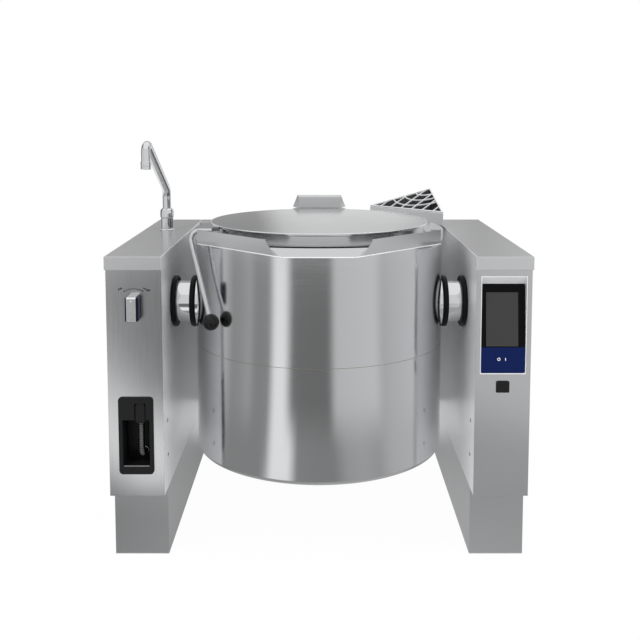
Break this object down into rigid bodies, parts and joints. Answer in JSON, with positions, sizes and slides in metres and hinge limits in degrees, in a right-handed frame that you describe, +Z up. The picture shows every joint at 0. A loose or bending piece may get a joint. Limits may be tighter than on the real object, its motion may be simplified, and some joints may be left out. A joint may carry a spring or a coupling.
{
  "type": "tilting steam jacketed kettle",
  "caption": "Round steam jacketed boiling kettle that tilts on trunnions between two consoles, with hinged lid, pouring beak, swivel tap and hand shower.",
  "frame": {"origin": "on the floor, in the middle of the footprint box from the pouring lip to the back of the consoles", "axes": "+X to the operator's right, -Y towards the operator and the pouring lip, +Z up"},
  "size_m": [1.2, 1.122, 1.203],
  "materials": {
    "stainless": "satin, fine grain",
    "polished_stainless": "polished",
    "chrome": "polished",
    "black_rubber": "matt",
    "black_plastic": "fine moulded",
    "gloss_black": "gloss",
    "navy_panel": "gloss",
    "navy_plastic": "semi-gloss",
    "grey_plastic": "matt",
    "satin_silver": "satin",
    "insulation_wool": "mineral wool",
    "heater_steel": "plain",
    "painted_iron": "machine enamel",
    "painted_steel": "powder coat",
    "brass": "turned"
  },
  "bodies": {
    "frame": {"worktops": "stainless", "left_front_panel": "stainless", "right_front_panel": "stainless", "inner_side_panels": "stainless", "outer_side_panels": "stainless", "console_back_panels": "stainless", "console_base_plates": "stainless", "plinths": "stainless", "levelling_feet": "heater_steel", "water_inlet": "chrome", "cable_gland": "black_plastic", "rear_cross_beam": "stainless", "rear_panel": "stainless", "panel_screws": "heater_steel", "console_seals": "black_rubber", "trunnion_bearings": "painted_iron", "bearing_pedestals": "painted_steel", "tilt_gearbox": "painted_iron", "tilt_motor": "painted_iron", "touch_housing": "black_plastic", "touch_screen": "gloss_black", "key_strip": "navy_panel", "control_box": "painted_steel", "usb_socket": "black_plastic", "selector_valve": "brass", "tap_supply_pipe": "heater_steel", "spray_niche": "black_plastic", "hand_shower": "black_plastic", "shower_hose": "heater_steel", "hose_grommet": "grey_plastic", "tap_base": "chrome", "corner_vent_box": "stainless", "corner_vent_grille": "stainless"},
    "spout": {"spout_nut": "chrome", "spout_pipe": "chrome", "spout_aerator": "chrome"},
    "selector": {"selector_knob": "navy_plastic", "knob_bar": "satin_silver"},
    "usb_flap": {"usb_cover": "black_plastic"},
    "kettle": {"trunnions": "polished_stainless", "kettle_seals": "black_rubber", "inner_vessel": "stainless", "steam_jacket": "stainless", "ring_heaters": "heater_steel", "insulation": "insulation_wool", "upper_casing": "stainless", "lower_casing": "stainless", "casing_bottom": "stainless", "rim_collar": "stainless", "pouring_lip": "stainless", "lip_seal": "black_rubber", "hinge_bracket": "stainless", "hinge_pin": "stainless"},
    "lid": {"lid_shell": "stainless", "lid_liner": "stainless", "lid_gasket": "black_rubber", "lid_hinge_arm": "stainless", "hinge_cover": "stainless", "lever_rod": "stainless", "lever_ball": "gloss_black"}
  },
  "joints": [
    {"name": "kettle_tilt", "type": "hinge", "parent": "frame", "child": "kettle", "pos_m": [0, -0.127, 0.722], "axis": [1, 0, 0], "range_deg": [0, 95]},
    {"name": "lid_hinge", "type": "hinge", "parent": "kettle", "child": "lid", "pos_m": [0, 0.271, 0.966], "axis": [-1, 0, 0], "range_deg": [0, 80]},
    {"name": "spout_swivel", "type": "hinge", "parent": "frame", "child": "spout", "pos_m": [-0.52, 0.246, 0.95], "axis": [0, 0, 1], "range_deg": [-45, 180]},
    {"name": "selector_turn", "type": "hinge", "parent": "frame", "child": "selector", "pos_m": [-0.518, -0.339, 0.747], "axis": [0, -1, 0], "range_deg": [-45, 45]},
    {"name": "usb_cover_hinge", "type": "hinge", "parent": "frame", "child": "usb_flap", "pos_m": [0.518, -0.3408, 0.535], "axis": [-1, 0, 0], "range_deg": [0, 110]}
  ]
}
